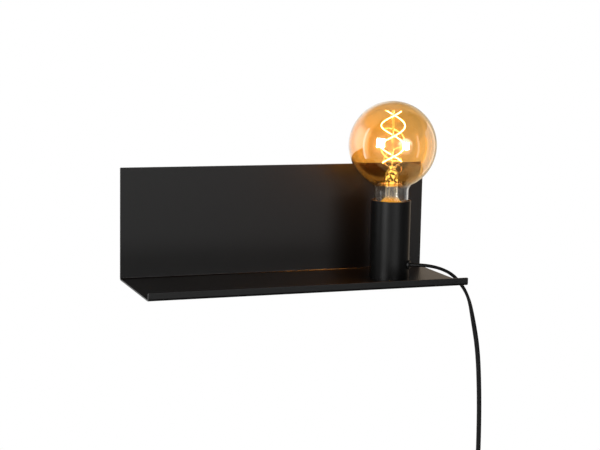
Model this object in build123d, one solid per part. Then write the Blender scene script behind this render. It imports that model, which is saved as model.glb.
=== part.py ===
from build123d import *
import math
import os

os.makedirs("parts", exist_ok=True)

# Plug-in wall lamp: a folded sheet shelf hung on a wall bar, with a tube sleeve standing on it that
# hides a screw lampholder and carries a globe bulb, and a flat cord with an in-line switch and a plug.
# Millimetres. X runs along the wall to the right, Y into the wall and Z up. The origin lies midway
# between the two wall holes, on the face of the wall.

# Folded sheet
plate_width = 350.0
plate_height = 120.0
shelf_depth = 122.5
lip_height = 8.3
sheet = 1.5
bend = 1.0
sheet_corner = 1.0
cut_margin = 1.0

# Wall bar and hanger rail
hole_height = 84.0
hole_spacing = 200.0
hole_d = 5.0
bar_length = 240.0
bar_sheet = 1.5
bar_drop = 14.0
joggle_foot = 6.0
joggle_rise = 3.0
bar_edge = 9.0
rail_length = 220.0
rail_sheet = 1.5
rail_margin = 4.0
hook_clearance = 0.5
bumper_d = 16.0
bumper_inset = 25.0
bumper_height = 14.0

# Sleeve and its foot
sleeve_inset = 65.0
sleeve_d = 43.0
sleeve_wall = 1.2
sleeve_height = 84.7
rim_round = 0.4
base_sheet = 2.0

# Fixing screw under the shelf
screw_d = 6.0
screw_clearance = 0.6
screw_spare = 1.0
head_across = 10.0
head_height = 4.0
washer_d = 14.0
washer_sheet = 1.2
nut_height = 5.0

# Lampholder
rim_recess = 7.2
holder_gap = 1.3
holder_height = 37.0
floor_height = 8.0
chamber_d = 24.0
chamber_height = 6.0
shell_clearance = 0.8
shell_wall = 1.05
bracket_strip = 1.5
bracket_width = 14.0
bracket_gap = 4.8
head_gap = 0.4
holder_screw_d = 4.0
holder_screw_bite = 6.0
holder_head_d = 7.0
holder_head_height = 2.5
holder_screw_clearance = 0.4
holder_round = 1.0

# Contacts and terminals
contact_strip = 0.6
contact_width = 6.0
contact_rise = 2.7
contact_reach = 10.0
contact_half_flat = 3.5
contact_foot = 4.0
side_contact_y = 8.5
tab_length = 10.0
terminal_length = 7.0
terminal_wall = 0.8
terminal_overlap = 5.0

# Screw thread of the bulb and the lampholder
thread_pitch = 25.4 / 7
thread_root_r = 12.1
thread_depth = 1.0
thread_half_width = 1.25
thread_clearance = 0.35
thread_turns = 3.75
thread_start = 1.5
thread_root = 0.3

# Bulb
tip_gap = 0.3
bulb_length = 140.0
globe_d = 95.0
globe_wall = 1.0
neck_d = 37.0
neck_fillet = 9.0
neck_flare = 7.0
tip_d = 9.5
tip_height = 1.2
insulator_height = 3.3
insulator_plug = 2.0
insulator_clearance = 0.05
cap_wall = 0.6
cap_thread_length = 16.5
cap_shoulder = 1.5
cap_collar = 4.5
collar_step = 1.5
glass_seat = 3.5
driver_d = 16.0
driver_height = 10.0
driver_board = 1.5
stem_d = 13.6
stem_wall = 1.0
stem_seat = 6.5
stem_cone = 6.5
stem_height = 46.5
stem_tip = 8.0
stem_flat_d = 4.0
filament_d = 1.2
filament_r = 12.8
filament_pitch = 44.1
filament_below = 18.5
filament_above = 37.0
filament_turned = 193.0
glass_rod_d = 2.4
glass_rod_spare = 1.0
lead_d = 0.8
lead_drop = 6.0
speck_volume = 2.0

# Cord
cord_d = 4.6
core_d = 2.0
core_spread = 1.2
core_straight = 6.0
cord_exit_height = 16.4
exit_turn = 40.0
bush_d = 10.0
bush_body_d = 7.6
bush_proud = 1.8
bush_inner_d = 9.0
bush_inner = 3.0
bush_round = 0.8
cord_tail_x = 10.0
bend_share = 0.45
hang_forward = 25.75
hang_bends = [(-0.1, -8.1), (19.6, 17.2), (26.8, 45.9), (33.9, 81.3), (37.6, 132.5)]
hang_plumb = 181.0

# In-line switch
switch_out = 38.9
switch_drop = 222.0
switch_length = 58.0
switch_width = 26.0
switch_depth = 17.0
switch_round = 9.0
switch_edge = 2.0
switch_wall = 1.8
switch_end = 7.0
rocker_width = 8.9
rocker_half = 9.6
rocker_gap = 0.9
rocker_tilt = 8.0
rocker_proud = 0.8
rocker_thick = 2.6
rocker_stem = 6.0
rocker_side_gap = 0.7
pivot_depth = 5.5
pin_d = 2.0
pin_clearance = 0.05
pin_boss = 2.6
pin_boss_half = 3.0
pin_bite = 2.2
contact_length = 15.0
contact_button = 1.2
case_screw_d = 2.5
case_screw_bite = 5.0
case_head_d = 4.6
case_head_depth = 2.0
case_screw_x = 7.0
case_screw_inset = 4.0

# Coil, tie and plug
entry_r = 22.0
entry_turn = 50.0
coil_r = 36.0
coil_pitch = 5.2
layer_pitch = 5.6
layer_half_turns = 5
coil_lead = 6.0
plug_drop = 22.0
tie_width = 8.0
tie_sheet = 0.8
tie_gap = 0.3
plug_width = 35.4
plug_depth = 13.7
plug_length = 36.0
plug_shoulder = 14.0
plug_neck = 16.0
plug_round = 3.0
relief_length = 20.0
relief_wide_d = 9.0
relief_narrow_d = 6.6
prong_d = 4.0
prong_length = 19.0
prong_spacing = 18.6
prong_bite = 6.0
prong_sleeve_wall = 0.3
prong_sleeve_length = 10.0
prong_flat_d = 0.8


def block(x0, x1, y0, y1, z0, z1):
    """A box between three pairs of planes."""
    return Pos((x0 + x1) / 2, (y0 + y1) / 2, (z0 + z1) / 2) * Box(x1 - x0, y1 - y0, z1 - z0)


def rod(start, end, diameter):
    """A round bar between two points."""
    start, end = Vector(*start), Vector(*end)
    face = Plane(origin=start, z_dir=end - start) * Circle(diameter / 2)
    return extrude(face, (end - start).length, dir=(end - start).normalized())


def turned(points):
    """A solid of revolution about the Z axis, from (radius, height) corners."""
    corners = [(radius, 0, height) for radius, height in points]
    return revolve(make_face(Polyline(*corners, close=True)), Axis.Z)


def extruded_profile(points, fillets, x0, x1):
    """A straight strip along X, from (Y, Z) corners and a radius for each corner to round."""
    face = Plane.YZ * make_face(Polyline(*points, close=True))
    for radius, places in fillets:
        spots = [Vector(0, *points[place]) for place in places]
        rounded = [v for v in face.vertices() if any((v.center() - spot).length < 1e-6 for spot in spots)]
        face = fillet(rounded, radius)
    return Pos(x0, 0, 0) * extrude(face, x1 - x0, dir=(1, 0, 0))


# Levels and lines that the pieces share
wall_gap = 2 * rail_sheet + bar_sheet + 3 * hook_clearance
shelf_under = -hole_height
shelf_top = shelf_under + sheet
plate_top = shelf_under + plate_height
plate_front = -wall_gap - sheet
lip_front = -wall_gap - shelf_depth
sleeve_x = plate_width / 2 - sleeve_inset
sleeve_y = -wall_gap - shelf_depth / 2
sleeve_top = shelf_top + sleeve_height
sleeve_bore_r = sleeve_d / 2 - sleeve_wall
at_sleeve = Pos(sleeve_x, sleeve_y, 0)

# Wall bar: a strip screwed flat to the wall, whose upper edge steps away from it
bar_back = -(2 * hook_clearance + rail_sheet)
joggle_top = joggle_foot + joggle_rise
bar_top = joggle_top + bar_edge
joggle_shift = bar_sheet * math.tan(math.atan2(-bar_back, joggle_rise) / 2)
bar_outline = [
    (0, -bar_drop),
    (0, joggle_foot),
    (bar_back, joggle_top),
    (bar_back, bar_top),
    (bar_back - bar_sheet, bar_top),
    (bar_back - bar_sheet, joggle_top - joggle_shift),
    (-bar_sheet, joggle_foot - joggle_shift),
    (-bar_sheet, -bar_drop),
]
wall_bar = extruded_profile(bar_outline, [], -bar_length / 2, bar_length / 2)
for side in (-1, 1):
    hole_x = side * hole_spacing / 2
    wall_bar -= rod((hole_x, -2 * bar_sheet, 0), (hole_x, bar_sheet, 0), hole_d)
export_step(wall_bar, "parts/wall_bar.step")

# Hanger rail: a strip spot-welded to the back of the plate, hooked over the wall bar
hook_low = joggle_top + 2 * hook_clearance
hook_back = -hook_clearance
web_back = -wall_gap + rail_sheet
rail_top = plate_top - rail_margin
rail_outline = [
    (hook_back, hook_low),
    (hook_back, bar_top + rail_sheet),
    (web_back, bar_top + rail_sheet),
    (web_back, rail_top),
    (-wall_gap, rail_top),
    (-wall_gap, bar_top),
    (hook_back - rail_sheet, bar_top),
    (hook_back - rail_sheet, hook_low),
]
hanger_rail = extruded_profile(rail_outline, [], -rail_length / 2, rail_length / 2)
export_step(hanger_rail, "parts/hanger_rail.step")

# Bumpers: two rubber pads that hold the foot of the plate off the wall
bumpers = []
for side in (-1, 1):
    bumper_x = side * (plate_width / 2 - bumper_inset)
    bumper_z = shelf_under + bumper_height
    bumpers.append(rod((bumper_x, -wall_gap, bumper_z), (bumper_x, 0, bumper_z), bumper_d))
wall_bumpers = Compound(children=bumpers)
export_step(wall_bumpers, "parts/wall_bumpers.step")

# Folded sheet: back plate, shelf and upturned lip in one piece, open at both ends
sheet_outline = [
    (-wall_gap, plate_top),
    (-wall_gap, shelf_under),
    (lip_front, shelf_under),
    (lip_front, shelf_under + lip_height),
    (lip_front + sheet, shelf_under + lip_height),
    (lip_front + sheet, shelf_top),
    (plate_front, shelf_top),
    (plate_front, plate_top),
]
sheet_bends = [(bend + sheet, (1, 2)), (bend, (5, 6))]
folded_shelf = extruded_profile(sheet_outline, sheet_bends, -plate_width / 2, plate_width / 2)
free_corners = [
    edge
    for edge in folded_shelf.edges().filter_by(Axis.Y)
    if abs(edge.length - sheet) < 1e-6 and edge.center().Z > shelf_top + bend
]
folded_shelf = fillet(free_corners, sheet_corner)
screw_hole_d = screw_d + screw_clearance
shelf_hole = rod((0, 0, shelf_under - cut_margin), (0, 0, shelf_top + cut_margin), screw_hole_d)
folded_shelf -= at_sleeve * shelf_hole
export_step(folded_shelf, "parts/folded_shelf.step")

# Sleeve: a tube standing on the shelf, with a side hole for the cord's bush
lamp_sleeve = turned(
    [
        (sleeve_bore_r, shelf_top),
        (sleeve_d / 2, shelf_top),
        (sleeve_d / 2, sleeve_top),
        (sleeve_bore_r, sleeve_top),
    ]
)
rim_edges = lamp_sleeve.edges().filter_by(GeomType.CIRCLE).group_by(Axis.Z)[-1]
lamp_sleeve = fillet(rim_edges, rim_round)
exit_z = shelf_under + cord_exit_height
to_exit = Rot(0, 0, -exit_turn)
lamp_sleeve -= to_exit * rod((0, 0, exit_z), (sleeve_d, 0, exit_z), bush_body_d)
lamp_sleeve = at_sleeve * lamp_sleeve
export_step(lamp_sleeve, "parts/lamp_sleeve.step")

# Foot of the sleeve: a disc pressed into the tube, level with its lower end
base_top = shelf_top + base_sheet
sleeve_base = turned(
    [
        (screw_hole_d / 2, shelf_top),
        (sleeve_bore_r, shelf_top),
        (sleeve_bore_r, base_top),
        (screw_hole_d / 2, base_top),
    ]
)
sleeve_base = at_sleeve * sleeve_base
export_step(sleeve_base, "parts/sleeve_base.step")

# Porcelain lampholder: levels first, because its bracket is cut to reach it
holder_d = 2 * (sleeve_bore_r - holder_gap)
holder_top = sleeve_top - rim_recess
holder_foot = holder_top - holder_height
holder_floor = holder_foot + floor_height
shell_foot = holder_floor + chamber_height
groove_r = thread_root_r + thread_depth + thread_clearance
shell_r = groove_r + shell_wall

# Bracket: a strip bent into a U whose two legs carry the porcelain on inward flanges
bracket_foot_top = base_top + bracket_strip
leg_out = sleeve_bore_r - bracket_gap
leg_in = leg_out - bracket_strip
holder_screw_y = leg_in - head_gap - holder_head_d / 2
flange_in = holder_screw_y - head_gap - holder_head_d / 2
half_strip = bracket_width / 2
holder_bracket = block(-half_strip, half_strip, -leg_out, leg_out, base_top, bracket_foot_top)
for side in (-1, 1):
    leg_y = sorted((side * leg_in, side * leg_out))
    flange_y = sorted((side * flange_in, side * leg_out))
    holder_bracket += block(-half_strip, half_strip, *leg_y, base_top, holder_foot)
    holder_bracket += block(-half_strip, half_strip, *flange_y, holder_foot - bracket_strip, holder_foot)
flange_hole_d = holder_screw_d + holder_screw_clearance
for side in (-1, 1):
    hole_y = side * holder_screw_y
    hole_low = holder_foot - 2 * bracket_strip
    holder_bracket -= rod((0, hole_y, hole_low), (0, hole_y, holder_foot + bracket_strip), flange_hole_d)
holder_bracket -= rod((0, 0, base_top - base_sheet), (0, 0, bracket_foot_top + base_sheet), screw_hole_d)
holder_bracket = at_sleeve * holder_bracket
export_step(holder_bracket, "parts/holder_bracket.step")

# Fixing screw, washer and nut: clamp shelf, foot and bracket together
washer_low = shelf_under - washer_sheet
head_low = washer_low - head_height
nut_top = bracket_foot_top + nut_height
fixing_washer = turned(
    [
        (screw_hole_d / 2, washer_low),
        (washer_d / 2, washer_low),
        (washer_d / 2, shelf_under),
        (screw_hole_d / 2, shelf_under),
    ]
)
fixing_washer = at_sleeve * fixing_washer
export_step(fixing_washer, "parts/fixing_washer.step")

hexagon = RegularPolygon(head_across / 2, 6, major_radius=False)
screw_end = nut_top + screw_spare
fixing_screw = Pos(0, 0, head_low) * extrude(hexagon, head_height)
fixing_screw += rod((0, 0, head_low + head_height / 2), (0, 0, screw_end), screw_d)
fixing_screw = at_sleeve * fixing_screw
export_step(fixing_screw, "parts/fixing_screw.step")

fixing_nut = Pos(0, 0, bracket_foot_top) * extrude(hexagon, nut_height)
fixing_nut -= rod((0, 0, bracket_foot_top - cut_margin), (0, 0, nut_top + cut_margin), screw_d)
fixing_nut = at_sleeve * fixing_nut
export_step(fixing_nut, "parts/fixing_nut.step")

# Lampholder body: a porcelain cup with a stepped bore, two contact slots and two screw holes
contact_low = holder_foot - tab_length
live_x = -contact_reach
live_back = live_x - contact_strip / 2
live_face = live_x + contact_strip / 2
half_contact = contact_width / 2
side_y = (-side_contact_y - half_contact, -side_contact_y + half_contact)
holder_body = turned(
    [
        (0, holder_foot),
        (holder_d / 2, holder_foot),
        (holder_d / 2, holder_top),
        (shell_r, holder_top),
        (shell_r, shell_foot),
        (chamber_d / 2, shell_foot),
        (chamber_d / 2, holder_floor),
        (0, holder_floor),
    ]
)
holder_rims = [
    edge
    for edge in holder_body.edges().filter_by(GeomType.CIRCLE)
    if abs(edge.radius - holder_d / 2) < 1e-6
]
holder_body = fillet(holder_rims, holder_round)
slot_low = holder_foot - cut_margin
slot_top = holder_floor + cut_margin
holder_body -= block(live_back, live_face, -half_contact, half_contact, slot_low, slot_top)
holder_body -= block(live_back, live_face, *side_y, slot_low, shell_foot)
for side in (-1, 1):
    hole_y = side * holder_screw_y
    hole_end = holder_foot + holder_screw_bite
    holder_body -= rod((0, hole_y, holder_foot - cut_margin), (0, hole_y, hole_end), holder_screw_d)
holder_body = at_sleeve * holder_body
export_step(holder_body, "parts/holder_body.step")

# Holder screws: up through the bracket's flanges into the porcelain
flange_low = holder_foot - bracket_strip
screws = []
for side in (-1, 1):
    hole_y = side * holder_screw_y
    head = rod((0, hole_y, flange_low - holder_head_height), (0, hole_y, flange_low), holder_head_d)
    shank_low = flange_low - holder_head_height / 2
    head += rod((0, hole_y, shank_low), (0, hole_y, holder_foot + holder_screw_bite), holder_screw_d)
    screws.append(at_sleeve * head)
holder_screws = Compound(children=screws)
export_step(holder_screws, "parts/holder_screws.step")

# Centre contact: a brass tongue on the porcelain floor, with its tab through the slot
tongue_top = holder_floor + contact_rise
tongue_low = tongue_top - contact_strip
foot_end = live_x + contact_foot
tongue_outline = [
    (live_back, contact_low),
    (live_face, contact_low),
    (live_face, holder_floor),
    (foot_end, holder_floor),
    (-contact_half_flat, tongue_low),
    (contact_half_flat, tongue_low),
    (contact_half_flat, tongue_top),
    (-contact_half_flat - contact_strip / 2, tongue_top),
    (foot_end - contact_strip / 2, holder_floor + contact_strip),
    (live_back, holder_floor + contact_strip),
]
tongue_face = make_face(Polyline(*[(x, 0, z) for x, z in tongue_outline], close=True))
centre_contact = extrude(tongue_face, half_contact, dir=(0, 1, 0), both=True)
centre_contact = at_sleeve * centre_contact
export_step(centre_contact, "parts/centre_contact.step")

# Side contact: a straight brass strip up to the foot of the threaded shell
side_contact = at_sleeve * block(live_back, live_face, *side_y, contact_low, shell_foot)
export_step(side_contact, "parts/side_contact.step")

# Terminals: push-on sleeves on the two tabs
terminal_top = contact_low + terminal_overlap
terminal_low = terminal_top - terminal_length
terminals = []
for tab_y in (0, -side_contact_y):
    outer_x = contact_strip / 2 + terminal_wall
    outer_y = half_contact + terminal_wall
    terminal = block(
        live_x - outer_x, live_x + outer_x, tab_y - outer_y, tab_y + outer_y, terminal_low, terminal_top
    )
    terminal -= block(
        live_back,
        live_face,
        tab_y - half_contact,
        tab_y + half_contact,
        contact_low,
        terminal_top + cut_margin,
    )
    terminals.append(at_sleeve * terminal)
wire_terminals = Compound(children=terminals)
export_step(wire_terminals, "parts/wire_terminals.step")


def thread(root_r, half_width, start, turns):
    """A rounded right-hand thread, as a solid ridge wound round the Z axis."""
    path = Helix(pitch=thread_pitch, height=thread_pitch * turns, radius=root_r)
    plane = Plane(origin=path @ 0, x_dir=(1, 0, 0), z_dir=path % 0)
    inward = -thread_root
    crown_r = (half_width**2 + thread_depth**2) / (2 * thread_depth)
    waist = math.sqrt(crown_r**2 - (crown_r - thread_depth + inward) ** 2)
    crown = ThreePointArc((inward, -waist), (thread_depth, 0), (inward, waist))
    back = Line((inward, waist), (inward, -waist))
    profile = make_face(crown.edges() + back.edges())
    ridge = sweep(plane * profile, path=path, is_frenet=True)
    return Pos(0, 0, start) * ridge


# Threaded shell of the lampholder: a brass ring with a helical groove
tip_low = tongue_top + tip_gap
insulator_low = tip_low + tip_height
cap_low = insulator_low + insulator_height
thread_low = cap_low + thread_start
shoulder_low = cap_low + cap_thread_length
shell_top = shoulder_low - shell_clearance
shell_bore_r = thread_root_r + thread_clearance
turns_below = math.ceil((thread_low - shell_foot) / thread_pitch) + 1
groove_low = thread_low - turns_below * thread_pitch
groove_turns = math.ceil((shell_top - groove_low) / thread_pitch) + 1
screw_shell = rod((0, 0, shell_foot), (0, 0, shell_top), 2 * shell_r)
screw_shell -= thread(shell_bore_r, thread_half_width + thread_clearance, groove_low, groove_turns)
screw_shell -= rod((0, 0, shell_foot - cut_margin), (0, 0, shell_top + cut_margin), 2 * shell_bore_r)
screw_shell = at_sleeve * screw_shell
export_step(screw_shell, "parts/screw_shell.step")

# Tip of the bulb: a soldered contact under a black glass insulator
bulb_tip = turned(
    [
        (0, tip_low),
        (tip_d / 2 - tip_height / 2, tip_low),
        (tip_d / 2, tip_low + tip_height / 2),
        (tip_d / 2, insulator_low),
        (0, insulator_low),
    ]
)
bulb_tip = at_sleeve * bulb_tip
export_step(bulb_tip, "parts/bulb_tip.step")

cap_bore_r = thread_root_r - cap_wall
plug_r = cap_bore_r - insulator_clearance
insulator_top = cap_low + insulator_plug
bulb_insulator = turned(
    [
        (0, insulator_low),
        (tip_d / 2, insulator_low),
        (plug_r, cap_low - insulator_clearance),
        (plug_r, insulator_top),
        (0, insulator_top),
    ]
)
bulb_insulator = at_sleeve * bulb_insulator
export_step(bulb_insulator, "parts/bulb_insulator.step")

# Cap of the bulb: a thin threaded shell that widens into a collar round the glass
shoulder_top = shoulder_low + cap_shoulder
collar_top = shoulder_top + cap_collar
collar_r = thread_root_r + collar_step
glass_r = collar_r - cap_wall
bulb_cap = turned(
    [
        (thread_root_r, cap_low),
        (thread_root_r, shoulder_low),
        (collar_r, shoulder_top),
        (collar_r, collar_top),
        (glass_r, collar_top),
        (glass_r, shoulder_top + cap_wall / 2),
        (cap_bore_r, shoulder_low + cap_wall / 2),
        (cap_bore_r, cap_low),
    ]
)
bulb_cap += thread(thread_root_r, thread_half_width, thread_low, thread_turns)
bulb_cap = at_sleeve * bulb_cap
export_step(bulb_cap, "parts/bulb_cap.step")

# Driver: a board pressed into the cap with its parts in a can below
board_low = insulator_top + tip_gap + driver_height
bulb_driver = turned(
    [
        (0, board_low - driver_height),
        (driver_d / 2, board_low - driver_height),
        (driver_d / 2, board_low),
        (cap_bore_r, board_low),
        (cap_bore_r, board_low + driver_board),
        (0, board_low + driver_board),
    ]
)
bulb_driver = at_sleeve * bulb_driver
export_step(bulb_driver, "parts/bulb_driver.step")

# Globe: blown glass of even wall, seated in the collar, flared to its neck and rounded into the ball
globe_r = globe_d / 2
neck_r = neck_d / 2
globe_z = tip_low + bulb_length - globe_r
glass_low = collar_top - glass_seat
flare_low = collar_top
flare_r = ((neck_r - glass_r) ** 2 + neck_flare**2) / (4 * (neck_r - glass_r))
flare_turn = 2 * math.atan2(neck_r - glass_r, neck_flare)
fillet_z = globe_z - math.sqrt((globe_r + neck_fillet) ** 2 - (neck_r + neck_fillet) ** 2)
join_turn = math.atan2(globe_z - fillet_z, neck_r + neck_fillet)


def polar(centre, radius, angle):
    """A point in the XZ plane, at an angle from the X axis about a centre."""
    return (centre[0] + radius * math.cos(angle), 0, centre[1] + radius * math.sin(angle))


def arc_about(centre, radius, start, end):
    """An arc in the XZ plane about a centre, between two angles."""
    angles = (start, (start + end) / 2, end)
    return ThreePointArc(*[polar(centre, radius, angle) for angle in angles])


def glass_line(inset):
    """The glass from its seat to the top of the ball, moved in by a distance, as joined edges."""
    seat = Line((glass_r - inset, 0, glass_low), (glass_r - inset, 0, flare_low))
    flare = arc_about((glass_r + flare_r, flare_low), flare_r + inset, math.pi, math.pi - flare_turn)
    turn = arc_about((neck_r - flare_r, flare_low + neck_flare), flare_r - inset, -flare_turn, 0)
    neck = Line((neck_r - inset, 0, flare_low + neck_flare), (neck_r - inset, 0, fillet_z))
    waist = arc_about((neck_r + neck_fillet, fillet_z), neck_fillet + inset, math.pi, math.pi - join_turn)
    ball = arc_about((0, globe_z), globe_r - inset, -join_turn, math.pi / 2)
    return [seat, flare, turn, neck, waist, ball]


crown = Line((0, 0, globe_z + globe_r), (0, 0, globe_z + globe_r - globe_wall))
lower_rim = Line((glass_r, 0, glass_low), (glass_r - globe_wall, 0, glass_low))
bulb_globe = revolve(make_face(glass_line(0) + glass_line(globe_wall) + [crown, lower_rim]), Axis.Z)
bulb_globe = at_sleeve * bulb_globe
export_step(bulb_globe, "parts/bulb_globe.step")

# Stem: a hollow glass tube sealed to the foot of the globe and closed at the top
stem_foot_r = glass_r - globe_wall
stem_r = stem_d / 2
stem_cone_low = glass_low + stem_seat
stem_cone_top = stem_cone_low + stem_cone
stem_top = glass_low + stem_height
stem_flat_r = stem_flat_d / 2
bulb_stem = turned(
    [
        (stem_foot_r, glass_low),
        (stem_foot_r, stem_cone_low),
        (stem_r, stem_cone_top),
        (stem_r, stem_top - stem_tip),
        (stem_flat_r, stem_top),
        (0, stem_top),
        (0, stem_top - 2 * stem_wall),
        (stem_flat_r, stem_top - 2 * stem_wall),
        (stem_r - stem_wall, stem_top - stem_tip - stem_wall),
        (stem_r - stem_wall, stem_cone_top),
        (stem_foot_r - stem_wall, stem_cone_low),
        (stem_foot_r - stem_wall, glass_low),
    ]
)
export_step(at_sleeve * bulb_stem, "parts/bulb_stem.step")

# Filaments: two strands wound round the axis, half a turn apart
filament_low = globe_z - filament_below
filament_top = globe_z + filament_above
filament_height = filament_top - filament_low
winding = Helix(pitch=filament_pitch, height=filament_height, radius=filament_r)
strand_face = Plane(origin=winding @ 0, z_dir=winding % 0) * Circle(filament_d / 2)
strand = Pos(0, 0, filament_low) * sweep(strand_face, path=winding, is_frenet=True)
filament_a_here = Rot(0, 0, filament_turned) * strand
filament_b_here = Rot(0, 0, filament_turned + 180) * strand
export_step(at_sleeve * filament_a_here, "parts/filament_a.step")
export_step(at_sleeve * filament_b_here, "parts/filament_b.step")

# Glass rod: stands on the stem between the strands
glass_rod_top = filament_top + glass_rod_spare
glass_rod = rod((0, 0, stem_top), (0, 0, glass_rod_top), glass_rod_d)
export_step(at_sleeve * glass_rod, "parts/glass_rod.step")

# Filament frame: two wires from the rod to the upper ends and two leads from the stem to the lower ends
end_turn = 360 * filament_height / filament_pitch
stem_space = rod((0, 0, glass_low), (0, 0, stem_top + cut_margin), stem_flat_d)
frame_wires = []
for side in (0, 180):
    low_angle = math.radians(filament_turned + side)
    top_angle = math.radians(filament_turned + side + end_turn)
    low_end = (filament_r * math.cos(low_angle), filament_r * math.sin(low_angle), filament_low)
    top_end = (filament_r * math.cos(top_angle), filament_r * math.sin(top_angle), filament_top)
    lead_start = (0, 0, stem_top - lead_drop / 2)
    frame_wires.append(rod((0, 0, filament_top), top_end, lead_d) - glass_rod)
    frame_wires.append(rod(lead_start, low_end, lead_d) - stem_space - bulb_stem)
wires = []
for wire in frame_wires:
    trimmed = wire - filament_a_here - filament_b_here
    wires += [piece for piece in trimmed.solids() if piece.volume > speck_volume]
filament_frame = Compound(children=wires)
export_step(at_sleeve * filament_frame, "parts/filament_frame.step")

# Bush: grips the cord in the side of the sleeve, with a head outside and a shoulder inside,
# turned from the right toward the front
bush_out = sleeve_d / 2 + bush_proud
bush_in = sleeve_bore_r - bush_inner
cord_bush = rod((bush_in, 0, exit_z), (bush_out, 0, exit_z), bush_body_d)
cord_bush += rod((sleeve_bore_r - sleeve_wall, 0, exit_z), (bush_out, 0, exit_z), bush_d)
cord_bush += rod((bush_in, 0, exit_z), (sleeve_bore_r, 0, exit_z), bush_inner_d)
cord_bush -= rod((bush_in - cut_margin, 0, exit_z), (bush_out + cut_margin, 0, exit_z), cord_d)
bush_edges = cord_bush.edges().filter_by(GeomType.CIRCLE).group_by(Axis.X)[-1]
cord_bush = fillet([edge for edge in bush_edges if edge.radius > bush_body_d / 2], bush_round)
cord_bush = at_sleeve * to_exit * cord_bush - lamp_sleeve
cord_bush = cord_bush.solids().sort_by(SortBy.VOLUME)[-1]
export_step(cord_bush, "parts/cord_bush.step")

# Cord inside the bush and the sleeve, and its two cores up to the terminals
cord_inner = at_sleeve * to_exit * rod((cord_tail_x, 0, exit_z), (bush_out, 0, exit_z), cord_d)
export_step(cord_inner, "parts/cord_inner.step")


def tube(points, diameter, name):
    """A tube along straight runs joined by arcs as large as the runs allow, with its radii printed."""
    spots = [Vector(*point) for point in points]
    runs = [after - before for before, after in zip(spots, spots[1:])]
    radii = []
    for before, after in zip(runs, runs[1:]):
        half_turn = math.radians(before.get_angle(after)) / 2
        radii.append(bend_share * min(before.length, after.length) / math.tan(half_turn))
    path = FilletPolyline(*points, radius=radii)
    section = Plane(origin=path @ 0, z_dir=path % 0) * Circle(diameter / 2)
    solid = sweep(section, path=path)
    expected = math.pi * diameter**2 / 4 * path.length
    print(name, "radii", [round(radius, 1) for radius in radii], "length", round(path.length, 1))
    print(name, "volume over section times length", round(solid.volume / expected, 4))
    return solid


def exit_point(along, aside):
    """A point of the cord's way in, along it from the middle of the sleeve and to one side of it."""
    spot = Vector(along, aside, exit_z).rotate(Axis.Z, -exit_turn)
    return (spot.X, spot.Y, spot.Z)


live_core = tube(
    [
        exit_point(cord_tail_x, core_spread),
        exit_point(cord_tail_x - core_straight, core_spread),
        (live_x, core_spread, exit_z),
        (live_x, core_spread, terminal_low),
    ],
    core_d,
    "live_core",
)
live_core = at_sleeve * live_core
export_step(live_core, "parts/live_core.step")

neutral_core = tube(
    [
        exit_point(cord_tail_x, -core_spread),
        exit_point(cord_tail_x - core_straight, -core_spread),
        (live_x, -side_contact_y, exit_z),
        (live_x, -side_contact_y, terminal_low),
    ],
    core_d,
    "neutral_core",
)
neutral_core = at_sleeve * neutral_core
export_step(neutral_core, "parts/neutral_core.step")

# Hanging cord: out of the bush to the plane it hangs in, over the end of the shelf, down to the switch
shelf_end = plate_width / 2
switch_x = shelf_end + switch_out
switch_top = shelf_under - switch_drop
hang_y = sleeve_y - hang_forward
bush_face = exit_point(bush_out, 0)
turn_x = sleeve_x + hang_forward / math.tan(math.radians(exit_turn))
hanging_points = [(sleeve_x + bush_face[0], sleeve_y + bush_face[1], exit_z), (turn_x, hang_y, exit_z)]
hanging_points += [(shelf_end + out, hang_y, shelf_under - down) for out, down in hang_bends]
hanging_points.append((switch_x, hang_y, shelf_under - hang_plumb))
hanging_points.append((switch_x, hang_y, switch_top - switch_end))
cord_run = tube(hanging_points, cord_d, "cord_run")
export_step(cord_run, "parts/cord_run.step")

# In-line switch: two half shells on the cord, split on the plane of the cord
switch_low = switch_top - switch_length
switch_z = (switch_top + switch_low) / 2
at_switch = Pos(switch_x, hang_y, switch_z)
half_depth = switch_depth / 2
cavity_half = half_depth - switch_wall
plan = Plane.XZ * RectangleRounded(switch_width, switch_length, switch_round)
case = extrude(plan, half_depth, both=True)
case_faces = case.faces().sort_by(Axis.Y)
case = fillet(case_faces[0].edges() + case_faces[-1].edges(), switch_edge)
hollow_plan = Plane.XZ * RectangleRounded(
    switch_width - 2 * switch_wall, switch_length - 2 * switch_end, switch_round - switch_wall
)
case -= extrude(hollow_plan, cavity_half, both=True)
cord_way = rod((0, 0, -switch_length), (0, 0, switch_length), cord_d)
case -= cord_way
rear_space = block(-switch_width, switch_width, 0, switch_depth, -switch_length, switch_length)
front_space = block(-switch_width, switch_width, -switch_depth, 0, -switch_length, switch_length)
screw_spots = []
for side in (-1, 1):
    screw_spots.append((side * case_screw_x, side * (switch_length / 2 - case_screw_inset)))

switch_base = case & rear_space
for x, z in screw_spots:
    switch_base -= rod((x, -cut_margin, z), (x, half_depth + cut_margin, z), case_screw_d)
    switch_base -= rod((x, half_depth - case_head_depth, z), (x, half_depth + cut_margin, z), case_head_d)
export_step(at_switch * switch_base, "parts/switch_base.step")

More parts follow.
